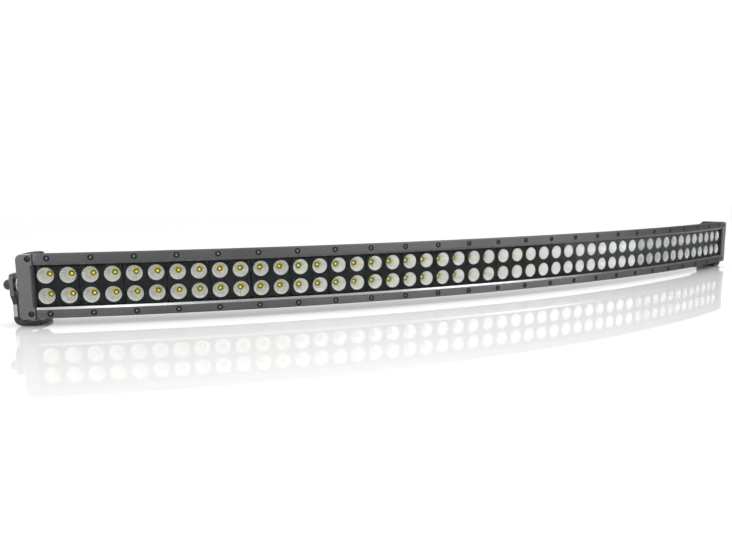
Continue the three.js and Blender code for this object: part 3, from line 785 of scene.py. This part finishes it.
def cup_mesh(flutes):
    """Four thin metallised cups, each a closed shell, parabolic inside."""
    # the wall is a paraboloid whose focus is the emitter; a short straight throat joins it to the board
    r1, d0, d1 = CUP_R - 0.25, 22.3, FACE_DEPTH + 0.75
    focus = 20.6
    h = focus - d1
    f = (math.sqrt(h * h + r1 * r1) - h) / 2
    throat = 3.7
    vertex = focus + f
    d_throat = vertex - throat * throat / (4 * f)
    rows = 11
    inner = [(throat, d0)]
    for i in range(1, rows + 1):
        t = ((i - 1) / (rows - 1)) ** 0.9
        d = d_throat + (d1 - d_throat) * t
        inner.append((math.sqrt(4 * f * (vertex - d)), d))
    outer = [(r + 0.22 if i == rows else r + 0.6, d) for i, (r, d) in enumerate(inner)]
    profile = inner + outer[::-1]
    segments = flutes * 4 if flutes else 48

    def twist(r, h, g):
        if not flutes or h > d0 - 0.01 or h < d1 + 0.01:
            return r
        inside = any(abs(r - a) < 1e-6 and abs(h - b) < 1e-6 for a, b in inner)
        if not inside:
            return r
        t = (h - d1) / (d0 - d1)
        depth = 0.62 * max(0.0, math.sin(math.pi * min(1.0, t * 1.02 + 0.2))) + 0.02
        return r - depth * (1.0 - abs(math.cos(g * flutes / 2)))

    parts = []
    for cx in (-LED_PITCH / 2, LED_PITCH / 2):
        for cz in (-ROW_PITCH / 2, ROW_PITCH / 2):
            parts.append(turned(profile, segments, "y", (cx, 0, cz), closed=True, twist=twist))
    return combined(*parts)


face_shared, face_first, face_last = face_mesh(), face_mesh(left=TRIM_X), face_mesh(right=TRIM_X)
for me in (face_shared, face_first, face_last):
    me.materials.append(MAT["face"])
flood_shared, spot_shared = cup_mesh(24), cup_mesh(0)
flood_shared.materials.append(MAT["cup_flood"])
spot_shared.materials.append(MAT["cup_spot"])
# the right-hand modules use a lit copy of the fluted cup material
flood_cups_right_lit_copy = flood_shared.copy()
flood_cups_right_lit_copy.materials.clear()
flood_cups_right_lit_copy.materials.append(MAT["cup_right_lit_copy"])
for me in (face_shared, face_first, face_last, flood_shared, flood_cups_right_lit_copy, spot_shared):
    me.polygons.foreach_set("use_smooth", [True] * len(me.polygons))
    me.set_sharp_from_angle(angle=math.radians(40))
for m in range(COLUMNS // 2):
    a = (m - 11.5) * 2 * LED_PITCH / FACE_R
    node_name = "reflector_%02d" % (m + 1)
    flood = m < 6 or m >= 18
    face = face_first if m == 0 else face_last if m == COLUMNS // 2 - 1 else face_shared
    for word, me in (("face", face), ("cups", flood_cups_right_lit_copy if m >= 18 else flood_shared if flood else spot_shared)):
        ob = bpy.data.objects.new("module_%02d_%s" % (m + 1, word), me)
        bpy.context.scene.collection.objects.link(ob)
        ob.matrix_world = station(a)
        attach(ob, "bar")
        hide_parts(node_name)


# ---- LED emitters ----
def emitter():
    """Square body, dark ring and yellow dome, its tip towards -d. Local origin on the board's front."""
    base = prism(rounded([(-2.5, -2.5), (2.5, -2.5), (2.5, 2.5), (-2.5, 2.5)], [0.5] * 4, 3), "xz", -0.7, 0.3)
    ring = turned([(0, -0.5), (2.75, -0.5), (2.75, -0.95), (2.6, -1.15), (2.1, -1.2), (1.9, -1.0), (0, -0.9)], 32, "y", (0, 0, 0))
    dome = turned(
        [(0, -0.55)] + [(1.85 * math.cos(math.radians(t)), -0.95 - 1.7 * math.sin(math.radians(t))) for t in (0, 15, 30, 45, 60, 75)] + [(0, -2.65)],
        32, "y", (0, 0, 0),
    )
    verts, faces, mats = [], [], []
    for me, mi in ((base, 0), (ring, 1), (dome, 2)):
        o = len(verts)
        verts += [tuple(v.co) for v in me.vertices]
        for p in me.polygons:
            faces.append(tuple(o + i for i in p.vertices))
            mats.append(mi)
    return new_mesh("emitter", verts, faces, mats)


led = emitter()
for mat in (MAT["board"], MAT["led_ring"], MAT["phosphor"]):
    led.materials.append(mat)
led.polygons.foreach_set("use_smooth", [True] * len(led.polygons))
led.set_sharp_from_angle(angle=math.radians(35))
for c in range(COLUMNS):
    a = (c - 23.5) * LED_PITCH / FACE_R
    for sign, word in ((1, "upper"), (-1, "lower")):
        ob = bpy.data.objects.new("emitter_%s_%02d" % (word, c + 1), led)
        bpy.context.scene.collection.objects.link(ob)
        ob.matrix_world = station(a) @ Matrix.Translation((0, BOARD_FRONT - 1.2, sign * ROW_PITCH / 2))
        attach(ob, "bar")

# ---- housing ----
half = [
    (8.3, WINDOW), (8.3, 38.4), (13, 38.4), (13, 35), (18, 33.6), (43.8, 31), (45, 29.9), (45, 29), (29, 28.4), (29, 23.6),
    (50, 23.2), (50, 21.6), (29, 21.2), (29, 17.2), (54, 16.8), (54, 15.2), (29, 14.8), (29, 10.5), (46, 10.5),
]
radii = [0, 0.3, 0.3, 0.3, 2, 0.55, 0.4, 0.4, 1.2, 1.2, 0.7, 0.7, 1.2, 1.2, 0.7, 0.7, 1.2, 1.2, 0.8]
outline = [(25.0, WINDOW)] + half + [(d, -z) for d, z in reversed(half)] + [(25.0, -WINDOW)]
rr = [0.8] + radii + radii[::-1] + [0.8]
channel = rounded([(29, -8.3), (43.6, -8.3), (43.6, 8.3), (29, 8.3)], [0.8] * 4, 3)
housing = sweep("housing", rounded(outline, rr, 3), -END, END, 60, [channel])
link("housing_body", housing, "bar", [MAT["housing"]], ["housing"])

# ---- end caps ----
front_outline = (
    [(CAP_U0, -41)]
    + arc(CAP_U1 - 5.0, -HALF_H + 5.0, 5.0, -90, 0, 12)
    + [(19.25, -17.0), (18.85, -11.0), (18.65, -5.0), (18.65, 1.5), (18.85, 6.0), (19.25, 10.0), (19.6, 14.0)]
    + arc(CAP_U1 - 7.2, HALF_H - 7.2, 7.2, 0, 90, 12)
    + [(CAP_U0, 41)]
)
cap_side = [(0, 38.4), (0.6, HALF_H), (37.5, HALF_H), (42, 34.6), (50, 31.8), (CAP_DEPTH, 27.5)]
side_outline = rounded(cap_side + [(d, -z) for d, z in reversed(cap_side)], [0, 0, 0.9, 2.5, 4, 3, 3, 4, 2.5, 0.9, 0, 0], 5)
plan_outline = rounded(
    [(CAP_U0, 0), (CAP_U1, 0), (16.4, 14), (6.8, 46), (5.4, CAP_DEPTH + 3), (CAP_U0, CAP_DEPTH + 3)],
    [0, 0, 6, 6, 0, 0], 4,
)


def cap_mesh():
    me = prism(front_outline, "xz", -1, CAP_DEPTH + 1)
    me = boolean(me, prism(side_outline, "yz", CAP_U0, CAP_U1 + 5), "INTERSECT")
    me = boolean(me, prism(plan_outline, "xy", -45, 45), "INTERSECT")
    boss = turned([(0, 7), (BOSS_R, 7), (BOSS_R, BOSS_U), (0, BOSS_U)], 48, "x", (0, PIVOT_D, PIVOT_Z))
    me = boolean(me, boss, "UNION")
    me = boolean(me, prism([(CAP_U0 - 1, 10), (5, 10), (5, 40), (CAP_U0 - 1, 40)], "xy", -24, 24))
    # sloped edge along the window
    me = boolean(me, prism([(CAP_U0 - 1, -1), (CAP_U0 + 2.4, -1), (CAP_U0 + 2.4, 0.0), (CAP_U0 - 0.2, 2.6), (CAP_U0 - 1, 2.6)], "xy", -WINDOW, WINDOW))
    me = bevelled(me, 1.1, 4, 26)
    me = boolean(me, turned([(0, 8.4), (4.35, 8.4), (4.35, 40), (0, 40)], 32, "x", (0, PIVOT_D, PIVOT_Z)))
    for z in (-33, 33):
        me = boolean(me, turned([(0, -1), (3.6, -1), (3.5, 0.2), (3.35, 1.2), (2.2, 1.2), (2.2, 8.6), (0, 8.6)], 36, "y", (CAP_SCREW_U, 0, z)))
    me = clean(me, 0.001, 0.2)
    me.materials.clear()
    for name in ("cap", "cap_edge", "top_bottom_painted_shade", "seat", "bezel_edge_upper"):
        me.materials.append(MAT[name])
    idx = []
    for p in me.polygons:
        u, d, z = p.center
        n = p.normal
        off = math.hypot(u - CAP_SCREW_U, abs(z) - 33)
        if off < 3.7 and 0.05 < d < 9:
            idx.append(3)
        # faces that point up or down get the dark painted shade
        elif abs(n.z) > 0.8 and d > 1.2 and abs(z) > 30:
            idx.append(2)
        # front bevel faces: the painted highlight coat, and on the window-side slope the upper chamfer's dark
        # painted-shade coat
        elif d < 2.7 and -0.97 < n.y < -0.12:
            idx.append(4 if u < 6 else 1)
        else:
            idx.append(0)
    me.polygons.foreach_set("material_index", idx)
    return me


cap = cap_mesh()
gasket_outline = [(max(0.8, min(d, CAP_DEPTH - 1.2)), z * 0.985) for d, z in side_outline]
gasket = boolean(prism(gasket_outline, "yz", 0.3, 1.5), prism([(11, -25), (42, -25), (42, 25), (11, 25)], "yz", -1, 3))
gasket = bevelled(gasket, 0.25, 2)


def washer(r0, r1, t0, t1, bevel=0.25):
    b = min(bevel, (t1 - t0) * 0.3)
    return turned([(r0, t0), (r1 - b, t0), (r1, t0 + b), (r1, t1 - b), (r1 - b, t1), (r0, t1)], 48, "x", (0, PIVOT_D, PIVOT_Z), closed=True)


# ---- brackets ----
def plate_profile():
    """The plate's (u, z) outline: upright, joggle, bend and foot, with bends of real radius."""
    t = BRACKET_T
    mid = [(U_UP + t / 2, 14.0), (U_UP + t / 2, -10.5), (U_LOW + t / 2, -20.0), (U_LOW + t / 2, FOOT_BOTTOM + t / 2), (-4.0, FOOT_BOTTOM + t / 2)]
    rad = [0, 7.0, 7.0, 6.7, 0]
    pts = []
    n = 8
    for i, (p, r) in enumerate(zip(mid, rad)):
        p = Vector(p)
        if i in (0, len(mid) - 1):
            pts.append(p)
            continue
        a, b = (Vector(mid[i - 1]) - p), (Vector(mid[i + 1]) - p)
        a.normalize()
        b.normalize()
        h = math.acos(a.dot(b)) / 2
        tt = r / math.tan(h)
        c = p + (a + b).normalized() * (r / math.sin(h))
        s, e = p + a * tt - c, p + b * tt - c
        turn = math.atan2(s.x * e.y - s.y * e.x, s.dot(e))
        for k in range(n + 1):
            g = turn * k / n
            pts.append(c + Vector((s.x * math.cos(g) - s.y * math.sin(g), s.x * math.sin(g) + s.y * math.cos(g))))
    left, right = [], []
    for i, p in enumerate(pts):
        q0, q1 = pts[max(0, i - 1)], pts[min(len(pts) - 1, i + 1)]
        d = (q1 - q0).normalized()
        nrm = Vector((-d.y, d.x))
        left.append(p + nrm * t / 2)
        right.append(p - nrm * t / 2)
    return [tuple(p) for p in left + right[::-1]]


end_view = (
    [(BRACKET_D0, FOOT_BOTTOM - 1), (BRACKET_D1, FOOT_BOTTOM - 1), (BRACKET_D1, -34)]
    + [(51.6, -29.6), (48.6, -25.4)]
    + [(36.6, -14), (35.3, -10.5), (35, -7)]
    + arc(29, 8, 6, 0, 90, 8)
    + arc(BRACKET_D0 + 5, 9, 5, 90, 180, 8)
)
foot_plan = rounded(
    [(60, BRACKET_D0 - 1), (1.2, BRACKET_D0 - 1), (1.2, BRACKET_D0), (0.4, 17), (-0.6, 25), (-1.1, 33), (-1.2, 41), (-0.6, 48), (0.4, BRACKET_D1), (0.4, BRACKET_D1 + 1), (60, BRACKET_D1 + 1)],
    [0, 0, 0, 6, 6, 6, 6, 5, 0, 0, 0], 3,
)


def bracket_mesh():
    me = prism(plate_profile(), "xz", BRACKET_D0 - 0.01, BRACKET_D1 + 0.01)
    me = boolean(me, prism(end_view, "yz", -12, 62), "INTERSECT")
    me = boolean(me, prism(foot_plan, "xy", FOOT_BOTTOM - 2, 20), "INTERSECT")
    me = boolean(me, turned([(0, 20), (4.4, 20), (4.4, 45), (0, 45)], 32, "x", (0, PIVOT_D, PIVOT_Z)))
    slot = arc(10, 26.5, 4.5, 180, 360, 12) + arc(10, 37.5, 4.5, 0, 180, 12)
    me = boolean(me, prism(slot, "xy", FOOT_BOTTOM - 1, FOOT_TOP + 1))
    me = bevelled(me, 0.55, 3, 30)
    # the front edges carry painted light: a mid-grey painted sheen above the joggle and on the foot, and a bright
    # metallic painted highlight below the joggle
    me.materials.clear()
    for name in ("bracket", "edge_bare", "edge_painted_sheen"):
        me.materials.append(MAT[name])
    # split the long front face at the heights where the painted highlight changes
    bm = bmesh.new()
    bm.from_mesh(me)
    for h in (-12.0, -22.5, -37.5):
        front = [f for f in bm.faces if f.normal.y < -0.7]
        edges = {e for f in front for e in f.edges}
        verts = {v for f in front for v in f.verts}
        bmesh.ops.bisect_plane(bm, geom=list(front) + list(edges) + list(verts), plane_co=(0, 0, h), plane_no=(0, 0, 1))
    bm.to_mesh(me)
    bm.free()
    idx = []
    for p in me.polygons:
        u, d, z = p.center
        if p.normal.y > -0.7 or d > BRACKET_D0 + 1:
            idx.append(0)
        elif z > -12.0 or (z < FOOT_TOP - 0.2 and u < 20.5):
            idx.append(2)
        elif -37.5 < z < -22.5:
            idx.append(1)
        else:
            idx.append(0)
    me.polygons.foreach_set("material_index", idx)
    return me


bracket = bracket_mesh()


def bolt_mesh():
    prof = [(0, 9), (3.6, 9), (4.0, 9.5), (4.0, 35.2), (6.5, 35.2), (6.5, 36.6), (6.35, 37.6), (6.0, 38.6), (5.4, 39.6), (4.5, 40.5), (3.5, 41.1), (2.95, 41.4), (0, 41.4)]
    me = turned(prof, 48, "x", (0, PIVOT_D, PIVOT_Z))
    return boolean(me, turned([(0, 38.9), (2.7, 39.4), (2.7, 46), (0, 46)], 6, "x", (0, PIVOT_D, PIVOT_Z)))


bolt = bolt_mesh()
cap_screw = button_screw(2.85, 1.75, 1.3, 1.9, 7.1, 36)
cap_screw_parts = {z: mapped(cap_screw, Matrix.Translation((CAP_SCREW_U, 0.9, z)), "cap_screw") for z in (33, -33)}

for word, side in (("right", 1), ("left", -1)):
    M = end_map(side)
    link("cap_" + word, mapped(cap, M, "cap"), "bar", [MAT["cap"]], ["end_cap_" + word])
    link("cap_seal_" + word, mapped(gasket, M, "seal"), "bar", [MAT["rubber"]], ["end_gasket_" + word])
    link("mount_bracket_" + word, mapped(bracket, M, "bracket"), "bracket_" + word, [MAT["bracket"]], ["bracket_" + word])
    link("tilt_bolt_" + word, mapped(bolt, M, "bolt"), "bar", [MAT["bolt"]], ["pivot_bolt_" + word])
    link("washer_inner_" + word, mapped(washer(4.3, 9.2, BOSS_U + 0.3, BOSS_U + 2.0), M, "washer"), "bar", [MAT["steel"]], ["pivot_washer_inner_" + word])
    link("bush_" + word, mapped(washer(4.3, 7.5, BOSS_U + 2.3, U_UP - 0.3), M, "bush"), "bar", [MAT["rubber"]], ["pivot_bush_" + word])
    link("washer_outer_" + word, mapped(washer(4.3, 7.2, U_UP + BRACKET_T + 0.3, 34.9), M, "washer"), "bar", [MAT["bolt"]], ["pivot_washer_outer_" + word])
    for z, name in ((33, "upper"), (-33, "lower")):
        link("cap_screw_%s_head_%s" % (name, word), mapped(cap_screw_parts[z], M, "cap_screw"), "bar", [MAT["screw"]], ["cap_screw_%s_%s" % (name, word)])

# ---- cable gland and breather vent ----
gland_at = station(GLAND_S / RADIUS)


def hexed(me, across, t0, t1, n=6, cx=0.0):
    """Joins a hexagonal prism to a turned flange between t0 and t1."""
    r = across / 2 / math.cos(math.pi / n)
    hexagon = turned([(0, t0), (r, t0), (r, t1), (0, t1)], n, "y", (0, 0, 0))
    return boolean(me, hexagon, "UNION")


body = turned([(0, 42), (5.9, 42), (5.9, 46.3), (8.6, 46.3), (8.6, 46.8), (8.0, 50.4), (7.1, 50.5), (7.2, 56), (0, 56)], 40, "y", (0, 0, 0))
body = bevelled(hexed(body, 16.4, 46.9, 50.4), 0.35, 2, 30)
link("gland_body", mapped(body, gland_at, "gland_body"), "bar", [MAT["black_plastic"]], ["cable_gland_body"])
nut = turned([(0, 56.3), (7.5, 56.3), (7.5, 50.9), (8.9, 50.9), (8.9, 57.0), (8.3, 59.4), (6.8, 61.6), (5.6, 62), (4.4, 62), (4.2, 61.6), (4.2, 60.5), (0, 60.5)], 48, "y", (0, 0, 0))
ribs = []
for k in range(12):
    g = 2 * math.pi * k / 12
    rib = prism(rounded([(8.3, -0.8), (9.35, -0.6), (9.35, 0.6), (8.3, 0.8)], [0, 0.3, 0.3, 0], 2), "xz", 51.2, 57.6)
    rib.transform(Matrix.Rotation(g, 4, "Y"))
    ribs.append(rib)
nut = boolean(nut, combined(*ribs), "UNION")
link("gland_nut", mapped(bevelled(nut, 0.2, 2, 35), gland_at, "gland_nut"), "bar", [MAT["black_plastic"]], ["cable_gland_nut"])
vent_at = station(VENT_S / RADIUS)
vent = turned([(0, 42), (3.9, 42), (3.9, 46.3), (7.9, 46.3), (7.9, 50.2), (7.4, 51.2), (6.4, 51.9), (0, 51.9)], 48, "y", (0, 0, 0))
slots = []
for k in range(8):
    g = 2 * math.pi * k / 8
    s = prism([(5.6, -0.7), (9.5, -0.7), (9.5, 0.7), (5.6, 0.7)], "xz", 48.0, 49.6)
    s.transform(Matrix.Rotation(g, 4, "Y"))
    slots.append(s)
vent = boolean(vent, combined(*slots))
link("vent_cap", mapped(vent, vent_at, "vent"), "bar", [MAT["black_plastic"]], ["breather_vent"])

# ---- CAD nodes that stay, with their finishes ----
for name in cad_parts:
    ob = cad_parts[name]
    mat = MAT["board"] if name.startswith("led_board") else MAT["driver"] if name.startswith("driver") else None
    if mat:
        ob.data.materials.clear()
        ob.data.materials.append(mat)

# ---- stage ----
floor_me = new_mesh("floor", [(-14, -9, 0), (14, -9, 0), (14, 22, 0), (-14, 22, 0)], [(0, 1, 2, 3)])
fm, nt, b, _ = material("studio_floor")
v = coords(nt)
nt.links.new(ramp(nt, noise(nt, v, 1.5, 2.0, 0.5), [(0.3, (0.69, 0.69, 0.69)), (0.7, (0.71, 0.71, 0.71))]), b.inputs["Base Color"])
nt.links.new(ramp(nt, noise(nt, v, 3.0, 2.0, 0.5), [(0.3, (0.03, 0.03, 0.03)), (0.7, (0.05, 0.05, 0.05))]), b.inputs["Roughness"])
b.inputs["Specular IOR Level"].default_value = 0.5
b.inputs["IOR"].default_value = 1.8
floor_me.materials.append(fm)
floor = bpy.data.objects.new("floor", floor_me)
bpy.context.scene.collection.objects.link(floor)
floor.location = (0, 0, -0.0005)

world = bpy.data.worlds.new("studio")
bpy.context.scene.world = world
world.use_nodes = True
wn = world.node_tree
bg = wn.nodes["Background"]
tc = wn.nodes.new("ShaderNodeTexCoord")
sep = wn.nodes.new("ShaderNodeSeparateXYZ")
wn.links.new(tc.outputs["Generated"], sep.inputs[0])
def world_math(op, a, b):
    n = wn.nodes.new("ShaderNodeMath")
    n.operation = op
    for i, v in enumerate((a, b)):
        if isinstance(v, (int, float)):
            n.inputs[i].default_value = v
        else:
            wn.links.new(v, n.inputs[i])
    return n.outputs[0]


def world_step(src, lo, hi):
    n = wn.nodes.new("ShaderNodeMapRange")
    n.interpolation_type = "SMOOTHSTEP"
    n.inputs["From Min"].default_value, n.inputs["From Max"].default_value = lo, hi
    wn.links.new(src, n.inputs["Value"])
    return n.outputs["Result"]


# white behind the bar, mid grey in front of it, and dark at the front right
behind = world_step(sep.outputs[1], 0.3, 0.56)
to_right = world_step(sep.outputs[0], 0.22, 0.78)
front = world_math("SUBTRACT", 1.12, world_math("MULTIPLY", to_right, 0.84))
level = world_math("ADD", world_math("MULTIPLY", behind, world_math("SUBTRACT", 1.06, front)), front)
wn.links.new(level, bg.inputs["Color"])
bg.inputs["Strength"].default_value = 1.0


def area(name, loc, target, size, size_y, power, colour=(1, 1, 1)):
    li = bpy.data.lights.new(name, "AREA")
    li.shape, li.size, li.size_y, li.energy, li.color = "RECTANGLE", size, size_y, power, colour
    ob = bpy.data.objects.new(name, li)
    bpy.context.scene.collection.objects.link(ob)
    ob.location = loc
    ob.rotation_euler = (Vector(target) - Vector(loc)).to_track_quat("-Z", "Y").to_euler()
    return ob


area("top_softbox", (0.0, 0.1, 1.7), (0, 0, 0), 2.6, 0.8, 22.0)
area("front_left_softbox", (-2.35, -1.65, 1.8), (-0.5, 0, 0.05), 1.1, 0.55, 3.2)
area("front_right_softbox", (1.55, -1.6, 1.7), (0.2, 0, 0.05), 1.5, 0.6, 32.0)
area("left_fill", (-0.85, -0.75, 0.6), (-0.6, 0, 0.05), 0.3, 0.2, 1.4)

bpy.context.scene.view_settings.view_transform = "Standard"
bpy.context.scene.view_settings.look = "None"

# ---- camera ----
az, el, roll, f_px = -0.4313, 0.1358, -0.0095, 639.8
fwd = Vector((-math.sin(az) * math.cos(el), math.cos(az) * math.cos(el), -math.sin(el)))
right = Vector((math.cos(az), math.sin(az), 0))
up = right.cross(fwd)
r2 = right * math.cos(roll) + up * math.sin(roll)
u2 = up * math.cos(roll) - right * math.sin(roll)
cam_data = bpy.data.cameras.new("camera")
cam_data.sensor_width = 36.0
cam_data.lens = f_px / 732.0 * 36.0
cam_data.clip_start, cam_data.clip_end = 0.05, 60
cam = bpy.data.objects.new("camera", cam_data)
bpy.context.scene.collection.objects.link(cam)
cm = Matrix((r2, u2, -fwd)).transposed().to_4x4()
cm.translation = Vector((-556.9, -758.0 + FACE_DEPTH + Y_SHIFT, 113.3 + Z_SHIFT)) * MM
cam.matrix_world = cm
bpy.context.scene.camera = cam
